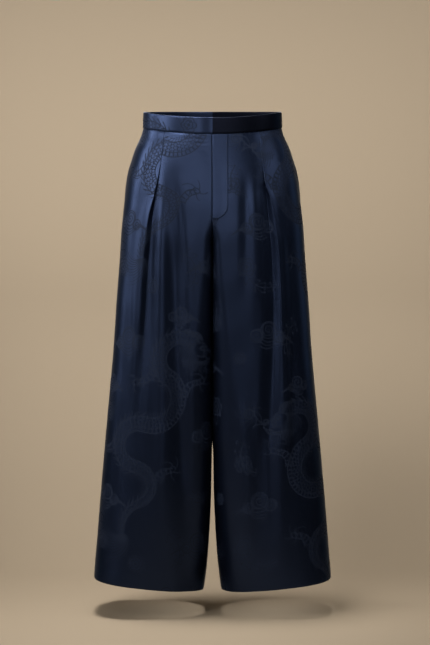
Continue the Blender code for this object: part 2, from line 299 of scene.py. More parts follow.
def halfSection(side, drop):
    # The middle of the wall of one quarter, from the centre or inseam edge to the side seam
    half = readCurve(bodyTable, "halfWidth", drop)
    sign = -1.0 if side == "front" else 1.0
    full = readCurve(bodyTable, side, drop) - sign * cut["sideLine"]
    start = cut[side + "RiseTurn"]
    share = np.clip((drop - start) / (cut["forkDrop"] - start), 0.0, 1.0)
    curved = full * (1 - math.sqrt(1 - share * share))
    inner = max(readCurve(legTable, "space", drop) - weave["legGap"], 0.0)
    inner += ease(curved / weave["forkFade"]) * weave["outerFace"]
    apex = inner + readCurve(legTable, "apex", drop)
    corner = min(readCurve(legTable, "corner", drop), curved)
    turns = np.linspace(0, math.pi / 2, weave["turnPoints"])
    runDepths = np.linspace(full - curved, full - corner, weave["runPoints"])[:-1]
    run = np.stack([np.full(len(runDepths), inner), runDepths], axis=1)
    cornerX = apex - (apex - inner) * np.cos(turns) ** (2 / cut["cornerRoundness"])
    cornerDepth = full - corner + corner * np.sin(turns) ** (2 / cut["cornerRoundness"])
    outerX = apex + (half - apex) * np.sin(turns) ** (2 / cut["outerRoundness"])
    outerDepth = full * np.cos(turns) ** (2 / cut["outerRoundness"])
    cornerPoints = np.stack([cornerX, cornerDepth], axis=1)
    outerPoints = np.stack([outerX, outerDepth], axis=1)
    points = np.concatenate([run, cornerPoints, outerPoints[1:]])
    points[:, 1] = cut["sideLine"] + sign * points[:, 1]
    lengths = runLengths(points)
    keep = np.concatenate([[True], np.diff(lengths) > weave["shortest"]])
    return points[keep], lengths[keep], max(curved - corner, 0.0)


def along(section, lengths, places, side):
    reach = weave["tangentReach"]
    tangents = pointsAt(places + reach, lengths, section) - pointsAt(places - reach, lengths, section)
    tangents /= np.linalg.norm(tangents, axis=1)[:, None]
    return pointsAt(places, lengths, section), outward(tangents, side)


def foldHeight(panel, across, drop):
    height = np.zeros(len(across))
    for row in folds[panel]:
        fold = {name: value / 1000 for name, value in zip(foldColumns, row)}
        if fold["start"] < drop < fold["end"]:
            share = (drop - fold["start"]) / (fold["end"] - fold["start"])
            away = across - (fold["acrossStart"] + share * (fold["acrossEnd"] - fold["acrossStart"]))
            width = fold["width"] * np.where(away > 0, 1 + fold["lean"], 1 - fold["lean"])
            height += fold["height"] * swelling(share, foldFade, foldFade) * hump(away, width)
    for row in drags.get(panel, ()):
        drag = {name: value / 1000 for name, value in zip(dragColumns, row)}
        if abs(drop - drag["drop"]) < dragNear:
            share = (across - drag["acrossStart"]) / (drag["acrossEnd"] - drag["acrossStart"])
            away = drop - drag["drop"] - drag["sag"] * np.clip(share, 0, 1)
            height += drag["height"] * swelling(share, *dragFades) * hump(away, drag["width"])
    return height


def ripple(across, drop, seed):
    waves = [
        height * np.sin(across * wide + drop * tall + seed * turn)
        for height, wide, tall, turn in rippleWaves
    ]
    return sum(waves) * ease((drop - rippleStart) / rippleFade)


def spread(run, end, count):
    near = np.linspace(0.0, run + weave["seamColumnsReach"], weave["seamColumns"])
    return np.concatenate([near, np.linspace(near[-1], end, count + 1)[1:]])


def closerTo(start, end):
    # Places from start to end that lie closer together at the end
    shares = 1 - (1 - np.linspace(0, 1, pleatDraw["nearColumns"])) ** pleatDraw["crowding"]
    return start + (end - start) * shares


def frontColumns(hand, section, lengths, run, drop):
    pleat = pleatTables[hand]
    foldLine = np.interp(readCurve(pleat, "across", drop), section[:, 0], lengths)
    lap = readCurve(pleat, "lap", drop)
    step = readCurve(pleat, "step", drop)
    trough = foldLine + max(lap, 0.0)
    ridge = foldLine + max(-lap, 0.0)
    opened = ease(1 - lap / cut["closedLap"])
    near = pleatDraw["near"]
    inner = spread(run, trough - near, pleatDraw["innerColumns"])[:-1]
    before = np.concatenate([inner, closerTo(trough - near, trough)])
    outer = np.linspace(ridge + near, lengths[-1], pleatDraw["outerColumns"])
    after = np.concatenate([closerTo(ridge + near, ridge)[::-1], outer[1:]])
    turns = np.linspace(0, math.pi, pleatDraw["turnPoints"])
    half = step / 2
    flat = np.linspace(trough, ridge, pleatDraw["turnPoints"])[1:-1]
    rise = half * (1 - np.cos(turns))
    closedPlaces = np.concatenate([trough + half * np.sin(turns), flat, ridge - half * np.sin(turns)])
    closedHeights = np.concatenate([-step + rise, np.zeros(len(flat)), rise])
    shares = np.linspace(0, 1, len(closedPlaces))
    openPlaces = trough + (ridge - trough) * shares
    openHeights = -step * np.cos(math.pi * shares)
    foldPlaces = closedPlaces + (openPlaces - closedPlaces) * opened
    foldHeights = closedHeights + (openHeights - closedHeights) * opened
    places = np.concatenate([before, foldPlaces[1:-1], after])
    heights = np.concatenate([
        -step * hump(before - trough, cut["innerBlend"]),
        foldHeights[1:-1],
        step * hump(after - ridge, cut["outerBlend"]),
    ])
    return places, heights, len(before) + len(foldPlaces) - 2


def pocketHeight(drop, toSide):
    share = (drop - cut["pocketTop"]) / (cut["pocketBottom"] - cut["pocketTop"])
    if not 0 < share < 1:
        return np.zeros(len(toSide))
    gape = cut["pocketGape"] * math.sin(math.pi * share) ** cut["pocketPower"]
    return gape * ease(1 - toSide / cut["pocketEdge"])


def finePath(side, hand, drop, gapes=True):
    # Plan points of the cloth's middle, and the column that lies on the grain line
    section, lengths, run = halfSection(side, drop)
    if side == "front":
        places, heights, grain = frontColumns(hand, section, lengths, run, drop)
    else:
        places = spread(run, lengths[-1], weave["backColumns"])
        heights = np.zeros(len(places))
        grain = weave["backGrain"]
    points, ways = along(section, lengths, places, side)
    toSide = lengths[-1] - places
    edges = ease(places / weave["edgeFade"]) * ease(toSide / weave["edgeFade"])
    panel = side + "_" + hand
    heights = heights + edges * foldHeight(panel, points[:, 0], drop)
    heights = heights + edges * ripple(points[:, 0], drop, rippleSeeds[panel])
    # Where the legs touch each other the cloth keeps to the middle
    heights = heights * ease((points[:, 0] - section[0, 0]) / weave["legsFade"] + weave["legsRest"])
    heights = heights - seamRoll(np.minimum(places, toSide))
    if side == "front" and gapes:
        heights = heights + pocketHeight(drop, toSide)
    return points + ways * heights[:, None], grain


def offset(path, distances, side):
    tangents = np.diff(path, axis=0)
    tangents /= np.maximum(np.linalg.norm(tangents, axis=1)[:, None], weave["shortest"])
    ways = outward(tangents, side)
    mitres = np.empty_like(path)
    mitres[0] = ways[0]
    mitres[-1] = ways[-1]
    together = np.maximum(1 + np.sum(ways[:-1] * ways[1:], axis=1), weave["widestMitre"])
    mitres[1:-1] = (ways[:-1] + ways[1:]) / together[:, None]
    return path + mitres * distances


def heightOf(side, drop, across):
    half = readCurve(bodyTable, "halfWidth", drop)
    inner = readCurve(legTable, "space", drop)
    dip = 0.0
    if side == "front":
        fade = 1 - ease((drop - cut["bandHeight"]) / (cut["frontDipEnd"] - cut["bandHeight"]))
        dip = cut["frontDip"] * fade * np.clip(1 - (across / half) ** 2, 0.0, 1.0)
    liftShare = ease((drop - cut["hemLiftStart"]) / (cut["length"] - cut["hemLiftStart"]))
    outShare = np.clip((across - inner) / (half - inner), 0.0, weave["hemLiftMost"])
    return -drop - dip + cut["hemLift"] * liftShare * outShare


signs = {"left": 1.0, "right": -1.0}


def placed(flat, drop, side, hand):
    heights = heightOf(side, drop, np.abs(flat[:, 0]))
    return np.stack([signs[hand] * flat[:, 0], flat[:, 1], heights], axis=1)


def linked(name, data):
    thing = bpy.data.objects.new(name, data)
    bpy.context.scene.collection.objects.link(thing)
    return thing


def flatRow(across, up):
    return np.stack([across, np.full(len(across), up)], axis=1)


def clothPiece(name, points, faces, cloth, seen, away, sharpTurn, material):
    # A mesh whose seen face is turned away from the inside, with the cloth's own flat coordinates
    mesh = bpy.data.meshes.new(name + "_cloth")
    mesh.from_pydata(points.tolist(), [], faces)
    mesh.update()
    if np.dot(np.array(mesh.polygons[seen].normal), away) < 0:
        mesh.flip_normals()
    layer = mesh.uv_layers.new(name="cloth")
    corners = np.empty(len(mesh.loops), dtype=np.int32)
    mesh.loops.foreach_get("vertex_index", corners)
    layer.data.foreach_set("uv", cloth[corners].astype(np.float32).ravel())
    mesh.shade_smooth()
    mesh.set_sharp_from_angle(angle=math.radians(sharpTurn))
    mesh.materials.append(material)
    piece = linked(name + "_cloth", mesh)
    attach(piece, "root")
    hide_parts(name)
    return piece


def gridFaces(index):
    sides = (index[:-1, :-1], index[:-1, 1:], index[1:, 1:], index[1:, :-1])
    return np.stack([side.ravel() for side in sides], axis=1)


def shellPiece(name, outer, inner, cloth, material):
    # A thin closed wall between two grids of points
    rows, columns = outer.shape[:2]
    count = rows * columns
    points = np.concatenate([outer.reshape(-1, 3), inner.reshape(-1, 3)])
    index = np.arange(count).reshape(rows, columns)
    outerFaces = gridFaces(index)
    edge = np.concatenate([index[0], index[1:, -1], index[-1, -2::-1], index[-2:0:-1, 0]])
    after = np.roll(edge, -1)
    edgeFaces = np.stack([edge, edge + count, after + count, after], axis=1)
    faces = np.concatenate([outerFaces, outerFaces[:, ::-1] + count, edgeFaces]).tolist()
    seen = len(outerFaces) // 2
    corner = outerFaces[seen][0]
    flat = np.concatenate([cloth.reshape(-1, 2)] * 2)
    away = points[corner] - points[corner + count]
    return clothPiece(name, points, faces, flat, seen, away, weave["sharpTurn"], material)


def sweptShell(name, drops, rowsAt, material):
    # A shell whose outer face, inner face and flat coordinates rowsAt gives for every drop
    outer, inner, cloth = [np.array(rows) for rows in zip(*[rowsAt(drop) for drop in drops])]
    shellPiece(name, outer, inner, cloth, material)
    return outer


# Node groups are written with plain arithmetic on wires
class Wire:
    def __init__(self, tree, socket):
        self.tree = tree
        self.socket = socket

    def other(self, output):
        # The wire from another output of the same node
        return Wire(self.tree, self.socket.node.outputs[output])

    def __add__(self, other):
        return maths("ADD", self, other)

    def __sub__(self, other):
        return maths("SUBTRACT", self, other)

    def __rsub__(self, other):
        return maths("SUBTRACT", other, self)

    def __mul__(self, other):
        return maths("MULTIPLY", self, other)

    def __truediv__(self, other):
        return maths("DIVIDE", self, other)

    __radd__ = __add__
    __rmul__ = __mul__


def fill(node, values):
    # Wires a node's sockets, or gives them values
    for name, value in values.items():
        if isinstance(value, Wire):
            value.tree.links.new(value.socket, node.inputs[name])
        else:
            node.inputs[name].default_value = value


def add(tree, kind, output, values=None, **settings):
    # A new node, and the wire from one of its outputs
    node = tree.nodes.new(kind)
    for name, value in settings.items():
        setattr(node, name, value)
    fill(node, values or {})
    return Wire(tree, node.outputs[output])


def maths(operation, *values, clamp=False):
    tree = next(value.tree for value in values if isinstance(value, Wire))
    return add(tree, "ShaderNodeMath", 0, dict(enumerate(values)), operation=operation, use_clamp=clamp)


def scaled(value, factor, shift, clamp=False):
    return maths("MULTIPLY_ADD", value, factor, shift, clamp=clamp)


def positive(value):
    return maths("ABSOLUTE", value)


def fract(value):
    return maths("FRACT", value)


def below(value, edge, blur):
    # One where the value is under the edge, zero above it
    if isinstance(edge, Wire):
        return scaled(edge - value, 1 / blur, 0.5, clamp=True)
    return scaled(value, -1 / blur, edge / blur + 0.5, clamp=True)


def stroke(distance, half, blur=0.5):
    return below(positive(distance), half, blur)


def drawn(distance, share=1.0):
    # A line of the figure's own width, or of a share of it
    return stroke(distance, figure["line"] * share)


def either(*masks):
    result = masks[0]
    for mask in masks[1:]:
        result = maths("MAXIMUM", result, mask)
    return result


def polar(x, y, centre):
    # Distance and turn (0 to 1 is once round) about a centre
    dx = x - centre[0]
    dy = y - centre[1]
    squares = scaled(dx, dx, dy * dy)
    return maths("SQRT", squares), maths("ARCTAN2", dy, dx) * (0.5 / math.pi)


def newGroup(name, inputs, outputs):
    # Inputs with a value are numbers, the others vectors
    group = bpy.data.node_groups.new(name, "ShaderNodeTree")
    for label, value in inputs.items():
        kind = "NodeSocketVector" if value is None else "NodeSocketFloat"
        socket = group.interface.new_socket(label, in_out="INPUT", socket_type=kind)
        if value is not None:
            socket.default_value = value
    for label in outputs:
        group.interface.new_socket(label, in_out="OUTPUT", socket_type="NodeSocketFloat")
    enter = group.nodes.new("NodeGroupInput")
    wires = [Wire(group, enter.outputs[label]) for label in inputs]
    return group, wires, group.nodes.new("NodeGroupOutput")


def clothWires(group, cloth):
    # The two flat coordinates of the cloth
    across = add(group, "ShaderNodeSeparateXYZ", "X", {0: cloth})
    return across, across.other("Y")


# The woven figure: a repeat of this size in millimetres, with its motifs placed in it.
# Rows give a place, then a motif's own radii, turns (1 is once round), widths and counts
figure = {
    "drawnScale": 1.45,
    "repeatWidth": 238,
    "repeatHeight": 396,
    "line": 0.8,
    "thin": 0.8,
    "innerLine": (0.45, 0.7),
    "eyeLine": 1.4,
    "fanLine": 0.9,
    "fill": 0.04,
    "bodyWidth": 11,
    "bodyReach": 22,
    "bodyTaper": (2.35, 0.72, 0.7),
    "scaleLength": 5.4,
    "scaleWidth": 5,
    "scaleSquash": 2.2,
    "scaleRound": 0.66,
    "scaleLine": 0.14,
    "bellyEdge": -0.42,
    "barLength": 5,
    "barLine": 0.18,
    "spikeLength": 7,
    "spikeHeight": 6,
    "spikeRise": 0.5,
    "spineStart": (-38, 336),
    "spineHeading": 45,
    "spineArcs": ((30, -195), (37, 165), (31, -190), (27, 150), (42, -75)),
    "tail": (2, 42, -0.2, 0.36, 30, -0.006),
    "skull": (-9, -8, 12, 9.5, 0.5),
    "snout": (-14, -7, 9, 6, 0.3),
    "eye": (-3, 2, 3.4, 2.6),
    "nose": (-6, 4, 4, 3.2, 1),
    "jawAndHorns": (
        (-6, -4, 15, 0.56, 0.26, 6),
        (24, 4, 22, 0.25, 0.2, 5),
        (14, 8, 16, 0.22, 0.24, 4),
    ),
    "whiskers": ((-4, 22, 20, 0.45, 0.3), (-14, -16, 18, 0.95, 0.4)),
    "maneAndBeard": (
        (0, 0, 12, 34, 0.86, 0.34, 34, 0.006),
        (2, -6, 10, 26, 0.64, 0.18, 36, -0.006),
    ),
    "limb": (-3, 6),
    "limbBars": 5,
    "limbBarLine": 0.13,
    "toes": (3, 17, 0.02, 0.96, 5, 0.012),
    "pad": 4,
    "pearl": (-92, 338),
    "pearlCurl": (7, 4, 1),
    "pearlFlames": (9, 20, 0, 1, 9, 0.012),
    "cloudCurls": ((0, 0, 11, 4.6, 1), (-16, -7, 8, 4.4, -1), (15, -9, 7.5, 4.4, 1)),
    "ribbonLength": 50,
    "ribbonStart": 12,
    "ribbonTurns": 2.2,
    "ribbonSway": 5,
    "ribbonDrop": 15,
    "ribbonWidth": 5.5,
    "petals": (("COSINE", 6, 0.7, 0.3), ("SINE", 5, 0.36, 0.22)),
    "heart": 0.2,
    "leafSlant": -0.26,
    "leafTurns": 5,
    "leafPower": 0.8,
    "leafSize": (-6, 11),
    "fanTips": (5, 0.2),
    "clouds": (
        ((66, 346), 1, 1.15),
        ((-70, 214), -1, 1.05),
        ((84, 118), -1, 1),
        ((-62, 60), 1, 1.1),
        ((96, 280), -1, 0.8),
        ((-16, 380), -1, 0.75),
    ),
    "flowers": (
        (-96, 268, 12), (94, 232, 11), (-92, 150, 13), (92, 48, 12),
        (30, 22, 10), (-104, 20, 8),
    ),
    "sprays": (
        ((-70, 284), 30, 0.42, 0.3),
        ((64, 254), 28, 0.86, 0.26),
        ((-64, 150), 30, 0.52, 0.34),
        ((66, 74), 32, 0.8, 0.3),
        ((-4, 40), 30, 0.3, 0.32),
    ),
    "legs": (
        ((40, 302), 20, 0.5, 0.28, (45, 280)),
        ((-48, 262), 20, 0.98, 0.28, (-53, 284)),
        ((90, 200), 18, 0.5, 0.28, (94, 180)),
        ((-14, 140), 18, 0.00, 0.28, (-18, 160)),
    ),
}


def beside(point, row):
    # A motif's row, with its place turned from a step beside the point into a place
    return (point[0] + row[0], point[1] + row[1]), *row[2:]


def ring(x, y, centre, wide, tall, tilt=0.0):
    # Signed distance to an ellipse's outline, near enough for a drawn line
    c, s = math.cos(tilt), math.sin(tilt)
    dx = x - centre[0]
    dy = y - centre[1]
    wideWay = scaled(dx, c / wide, dy * (s / wide))
    tallWay = scaled(dy, c / tall, dx * (-s / tall))
    squares = scaled(wideWay, wideWay, tallWay * tallWay)
    return (maths("SQRT", squares) - 1.0) * min(wide, tall)


def curl(x, y, centre, radius, pitch, hand):
    distance, turn = polar(x, y, centre)
    phase = fract(scaled(distance, 1 / pitch, turn * hand))
    line = drawn(scaled(phase, pitch, -pitch / 2))
    disc = below(distance, radius, blur=0.6)
    return either(either(line, figure["fill"]) * disc, drawn(distance - radius))


def cloud(x, y, centre, hand, scale):
    # A head of curls in falling sizes, and a wavy ribbon that trails from it
    cx, cy = centre
    curls = [
        curl(x, y, (cx + dx * scale * hand, cy + dy * scale), radius * scale, pitch, turn * hand)
        for dx, dy, radius, pitch, turn in figure["cloudCurls"]
    ]
    long = figure["ribbonLength"]
    share = scaled(x, hand / (long * scale), (-hand * cx / scale + figure["ribbonStart"]) / long)
    wave = maths("SINE", share * (figure["ribbonTurns"] * math.pi))
    aside = scaled(wave, figure["ribbonSway"] * scale, y) - (cy - figure["ribbonDrop"] * scale)
    width = scaled(share, -figure["ribbonWidth"] * scale, figure["ribbonWidth"] * scale)
    inside = below(positive(share - 0.5), 0.5, blur=0.01)
    ribbon = either(drawn(positive(aside) - width), drawn(aside, figure["thin"])) * inside
    return either(*curls, ribbon)


def pearl(x, y, centre):
    return either(curl(x, y, centre, *figure["pearlCurl"]), fan(x, y, centre, *figure["pearlFlames"]))


def arcFrame(x, y, centre, radius, start, sweep):
    # Share along an arc, distance beside it, and whether the point is within its sweep
    distance, turn = polar(x, y, centre)
    share = fract(turn - start) * (1 / sweep)
    return share, distance - radius, below(share, 1.0, blur=0.01)


def arcBand(x, y, centre, radius, start, sweep, width):
    # A leaf-shaped band along an arc, with lines inside it
    share, aside, inside = arcFrame(x, y, centre, radius, start, sweep)
    swell = maths("SINE", maths("MINIMUM", share, 1.0) * math.pi) * (width / 2)
    place, thin = figure["innerLine"]
    far = positive(aside)
    return either(drawn(far - swell), drawn(far - swell * place, thin)) * inside


def arcLine(x, y, centre, radius, start, sweep):
    share, aside, inside = arcFrame(x, y, centre, radius, start, sweep)
    return drawn(aside, figure["thin"]) * inside


def spray(x, y, centre, radius, start, sweep):
    # A stem with pairs of pointed leaves
    share, aside, inside = arcFrame(x, y, centre, radius, start, sweep)
    far = positive(aside)
    turns = share * (figure["leafTurns"] * math.pi)
    wave = positive(maths("SINE", scaled(far, figure["leafSlant"], turns)))
    leaf = maths("POWER", wave, figure["leafPower"]) * scaled(share, *figure["leafSize"])
    return either(drawn(aside, figure["thin"]), drawn(far - leaf)) * inside


def flower(x, y, cx, cy, radius):
    distance, turn = polar(x, y, (cx, cy))
    edges = []
    for wave, count, least, more in figure["petals"]:
        petals = positive(maths(wave, turn * (count * math.pi)))
        edges.append(scaled(maths("SQRT", petals), radius * more, radius * least))
    lines = [drawn(distance - edge) for edge in edges]
    heart = below(distance, radius * figure["heart"], blur=0.8)
    return either(*lines, heart, below(distance, edges[0], blur=0.6) * figure["fill"])


def fan(x, y, centre, near, far, start, sweep, count, swirl):
    # Fine curved lines that spread from a centre, like a mane
    distance, turn = polar(x, y, centre)
    bent = scaled(distance, swirl, turn)
    inside = below(fract(bent - start), sweep, blur=0.004)
    phase = positive(fract(bent * count) - 0.5)
    spacing = distance * (2 * math.pi / count)
    line = below(phase * spacing, figure["line"] * figure["fanLine"], blur=0.5)
    every, uneven = figure["fanTips"]
    reach = scaled(maths("SINE", bent * (2 * math.pi * count / every)), (far - near) * uneven, far)
    return line * inside * below(distance, reach, blur=1.0) * below(near - distance, 0.0, blur=0.8)


def dragonBody(x, y):
    # Length along the spine and distance beside it, over a chain of arcs
    px, py = figure["spineStart"]
    heading = math.radians(figure["spineHeading"])
    total = 0.0
    lengthWire = None
    for radius, turnDegrees in figure["spineArcs"]:
        hand = 1.0 if turnDegrees > 0 else -1.0
        cx = px - hand * radius * math.sin(heading)
        cy = py + hand * radius * math.cos(heading)
        startTurn = math.atan2(py - cy, px - cx) / (2 * math.pi)
        distance, turn = polar(x, y, (cx, cy))
        share = fract(scaled(turn, hand, -hand * startTurn))
        aside = scaled(distance, -hand, hand * radius)
        cover = maths("LESS_THAN", share, abs(turnDegrees) / 360)
        cover = cover * maths("LESS_THAN", positive(aside), figure["bodyReach"])
        length = scaled(share, 2 * math.pi * radius, total)
        if lengthWire is None:
            lengthWire, sideWire, coverWire = length, aside, cover
        else:
            lengthWire = scaled(length - lengthWire, cover, lengthWire)
            sideWire = scaled(aside - sideWire, cover, sideWire)
            coverWire = either(coverWire, cover)
        total += abs(math.radians(turnDegrees)) * radius
        heading += math.radians(turnDegrees)
        px = cx + hand * radius * math.sin(heading)
        py = cy - hand * radius * math.cos(heading)
    return lengthWire, sideWire, coverWire, total, (px, py), heading


def dragonSkin(x, y):
    length, aside, cover, total, tailPoint, tailHeading = dragonBody(x, y)
    share = maths("MINIMUM", length / total, 1.0)
    factor, shift, power = figure["bodyTaper"]
    half = maths("POWER", maths("SINE", scaled(share, factor, shift)), power) * figure["bodyWidth"]
    inBody = below(positive(aside), half, blur=0.6)
    rowPhase = length / figure["scaleLength"]
    alongScale = fract(rowPhase)
    oddRow = maths("MODULO", maths("FLOOR", rowPhase), 2.0) * 0.5
    acrossScale = fract(scaled(aside, 1 / figure["scaleWidth"], oddRow)) - 0.5
    squashed = acrossScale * figure["scaleSquash"]
    roundness = maths("SQRT", scaled(squashed, acrossScale, alongScale * alongScale))
    scales = stroke(roundness - figure["scaleRound"], figure["scaleLine"], blur=0.1)
    bellyEdge = half * figure["bellyEdge"]
    belly = below(aside, bellyEdge, blur=0.6)
    bars = stroke(fract(length / figure["barLength"]) - 0.5, figure["barLine"], blur=0.1)
    seam = drawn(aside - bellyEdge, figure["thin"])
    skin = either(scaled(bars - scales, belly, scales), seam)
    beyond = aside - half
    high = figure["spikeHeight"]
    spike = scaled(fract(length / figure["spikeLength"]), -high, high + figure["spikeRise"])
    spikes = drawn(beyond - spike) * below(0.0 - beyond, 0.0, blur=0.5)
    body = inBody * either(skin, figure["fill"])
    return either(drawn(positive(aside) - half), body, spikes) * cover, tailPoint, tailHeading


def dragonHead(x, y):
    skull = beside(figure["spineStart"], figure["skull"])
    snout = beside(skull[0], figure["snout"])
    rings = [ring(x, y, *skull), ring(x, y, *snout)]
    eye = ring(x, y, *beside(skull[0], figure["eye"]))
    nose = curl(x, y, *beside(snout[0], figure["nose"]))
    bands = [arcBand(x, y, *beside(skull[0], row)) for row in figure["jawAndHorns"]]
    whiskers = [arcLine(x, y, *beside(snout[0], row)) for row in figure["whiskers"]]
    hairs = [fan(x, y, *beside(skull[0], row)) for row in figure["maneAndBeard"]]
    clear = below(0.0 - rings[0], 0.0, blur=0.6) * below(0.0 - rings[1], 0.0, blur=0.6)
    lines = either(drawn(rings[0]), drawn(rings[1]), drawn(eye, figure["eyeLine"]), nose)
    inside = (1.0 - clear) * figure["fill"]
    return either(lines, inside, either(*bands, *whiskers, *hairs) * clear), clear


def leg(x, y, centre, radius, start, sweep, foot):
    share, aside, inside = arcFrame(x, y, centre, radius, start, sweep)
    width = scaled(share, *figure["limb"])
    bars = stroke(fract(share * figure["limbBars"]) - 0.5, figure["limbBarLine"], blur=0.1)
    rows = either(bars, figure["fill"]) * below(positive(aside), width, blur=0.5) * inside
    toes = fan(x, y, foot, *figure["toes"])
    pad = drawn(ring(x, y, foot, figure["pad"], figure["pad"]))
    return either(drawn(positive(aside) - width) * inside, rows, toes, pad)


def figureMask(x, y):
    body, tailPoint, tailHeading = dragonSkin(x, y)
    head, clear = dragonHead(x, y)
    near, far, start, *rest = figure["tail"]
    tail = fan(x, y, tailPoint, near, far, tailHeading / (2 * math.pi) + start, *rest)
    motifs = [pearl(x, y, figure["pearl"])]
    for draw, name in ((leg, "legs"), (cloud, "clouds"), (flower, "flowers"), (spray, "sprays")):
        motifs += [draw(x, y, *place) for place in figure[name]]
    return either(body * clear, head, tail, *motifs)


def makeFigureGroup():
    group, (cloth,), leave = newGroup("WovenFigure", {"Cloth": None}, ("Figure",))
    across, up = [wire * (1000.0 / figure["drawnScale"]) for wire in clothWires(group, cloth)]
    wide, tall = figure["repeatWidth"], figure["repeatHeight"]
    column = maths("FLOOR", across / wide)
    odd = maths("MODULO", positive(column), 2.0)
    x = (across - column * wide - wide / 2) * scaled(odd, -2.0, 1.0)
    y = fract(scaled(odd, 0.5, up / tall)) * tall
    fill(leave, {"Figure": figureMask(x, y)})
    return group


def makeWeaveGroup():
    # The satin's fine floats, and soft unevenness of the cloth
    inputs = {"Cloth": None, "Thread": satinLook["thread"]}
    group, (cloth, thread), leave = newGroup("SatinWeave", inputs, ("Height", "Streak"))
    across, up = [wire / thread for wire in clothWires(group, cloth)]
    turn = 2 * math.pi / satinLook["floatLength"]
    floats = maths("SINE", scaled(up, turn, maths("FLOOR", across) * (2 * turn)))
    ribs = maths("SINE", across * (2 * math.pi))
    stretch = {0: cloth, 1: satinLook["streakScale"]}
    stretched = add(group, "ShaderNodeVectorMath", 0, stretch, operation="MULTIPLY")
    streak = add(group, "ShaderNodeTexNoise", 0, {"Vector": stretched, "Scale": 1.0, "Detail": 2.0})
    fill(leave, {"Height": scaled(floats, 0.5, ribs * 0.5), "Streak": streak})
    return group


satinLook = {
    "ground": (0.0172, 0.0260, 0.0550, 1.0),
    "figure": (0.0106, 0.0155, 0.0300, 1.0),
    "groundRoughness": 0.32,
    "figureRoughness": 0.78,
    "streakRoughness": 0.05,
    "metallic": 0.9,
    "figureMetallic": 0.0,
    "specularTint": (0.45, 0.50, 0.60, 1.0),
    "specularLevel": 0.12,
    "weaveBump": 0.05,
    "bumpDistance": 0.0002,
    "thread": 0.00045,
    "floatLength": 5,
    "streakScale": (420.0, 14.0, 1.0),
}
# The band's plain half and the pocket facings: unfigured satin whose darker ground colour is painted
# shade, standing in for the same satin reflecting less light
plainPaintedShadeLook = dict(satinLook, ground=(0.0050, 0.0062, 0.0115, 1.0), groundRoughness=0.42)


def mix(tree, factor, low, high, kind="FLOAT"):
    return add(tree, "ShaderNodeMix", "Result", {"Factor": factor, "A": low, "B": high}, data_type=kind)


def newMaterial(name):
    material = bpy.data.materials.new(name)
    material.use_nodes = True
    return material, material.node_tree, material.node_tree.nodes["Principled BSDF"]


def makeSatin(name, look, figured):
    material, tree, shader = newMaterial(name)
    cloth = add(tree, "ShaderNodeUVMap", "UV", uv_map="cloth")
    height = add(tree, "ShaderNodeGroup", "Height", {"Cloth": cloth}, node_tree=groups["weave"])
    bump = {"Strength": look["weaveBump"], "Distance": look["bumpDistance"], "Height": height}
    colour, metal, rough = look["ground"], look["metallic"], look["groundRoughness"]
    if figured:
        mask = add(tree, "ShaderNodeGroup", "Figure", {"Cloth": cloth}, node_tree=groups["figure"])
        colour = mix(tree, mask, colour, look["figure"], "RGBA")
        metal = mix(tree, mask, metal, look["figureMetallic"])
        rough = mix(tree, mask, rough, look["figureRoughness"])
    fill(shader, {
        "Base Color": colour,
        "Metallic": metal,
        "Roughness": scaled(height.other("Streak"), look["streakRoughness"], rough),
        "Specular IOR Level": look["specularLevel"],
        "Specular Tint": look["specularTint"],
        "Normal": add(tree, "ShaderNodeBump", "Normal", bump),
    })
    return material


groups = {"figure": makeFigureGroup(), "weave": makeWeaveGroup()}
print("figure nodes", len(groups["figure"].nodes))
figuredSatin = makeSatin("figuredSatin", satinLook, True)
# The plain satin's darker ground colour is painted shade
plainPaintedShadeSatin = makeSatin("plainPaintedShadeSatin", plainPaintedShadeLook, False)

panelShift = {
    "front_right": (0.4460, 0.0680),
    "front_left": (0.1150, 0.5000),
    "back_right": (0.660, 0.150),
    "back_left": (0.930, 0.020),
}


def fineDrops():
    top = np.linspace(cut["bandHeight"], weave["topRowsEnd"], weave["topRows"])[:-1]
    return np.concatenate([top, np.linspace(weave["topRowsEnd"], cut["length"], weave["rows"])])


def panelFaces(drop):
    # Heights of the outer face, the inner face and the middle, with the seam, the hem and its line
    toHem = cut["length"] - drop
    pinch = 1 - math.sqrt(1 - np.clip(1 - toHem / weave["hemEdge"], 0, 1) ** 2)
    doubled = ease((weave["hemDepth"] - toHem) / weave["hemTurn"])
    outer = weave["outerFace"] - weave["hemOuterPinch"] * pinch
    inner = weave["innerFace"] + (weave["hemInnerFace"] - weave["innerFace"]) * doubled
    inner = inner + weave["hemInnerPinch"] * pinch
    toLine = toHem - weave["hemDepth"] + weave["hemLineAbove"]
    line = -weave["hemLineDepth"] * hump(toLine, weave["hemLineWidth"])
    roll = -seamRoll(drop - cut["bandHeight"])
    return [face + line + roll for face in (outer, inner, 0.0)]


def makePanel(side, hand, material):
    name = side + "_" + hand
    shiftU, shiftV = panelShift[name]
    drops = fineDrops()
    allRows, clothRows = [], []
    down = 0.0
    previous = None
    for drop in drops:
        path, grain = finePath(side, hand, drop)
        rows = []
        for face in panelFaces(drop):
            flat = offset(path, face, side)
            flat[:, 0] = np.maximum(flat[:, 0], 0.0)
            if drop < cut["legsMeetEnd"]:
                flat[0, 0] = -weave["seamOverlap"]
            rows.append(placed(flat, drop, side, hand))
        allRows.append(rows)
        middle = rows[2]
        if previous is not None:
            down += float(np.linalg.norm(middle[grain] - previous))
        previous = middle[grain]
        lengths = runLengths(middle)
        across = signs[hand] * (lengths - lengths[grain]) + shiftU
        clothRows.append(flatRow(across, shiftV - down))
    outer, inner, middle = [np.array(rows) for rows in zip(*allRows)]
    cloth = np.array(clothRows)
    piece = shellPiece(name, outer, inner, cloth, material)
    flat = np.ptp(cloth.reshape(-1, 2), axis=0)
    return {"outer": outer, "drops": drops}


panels = {}
for side in ("front", "back"):
    for hand in ("right", "left"):
        panels[side + "_" + hand] = makePanel(side, hand, figuredSatin)
print("panels made")

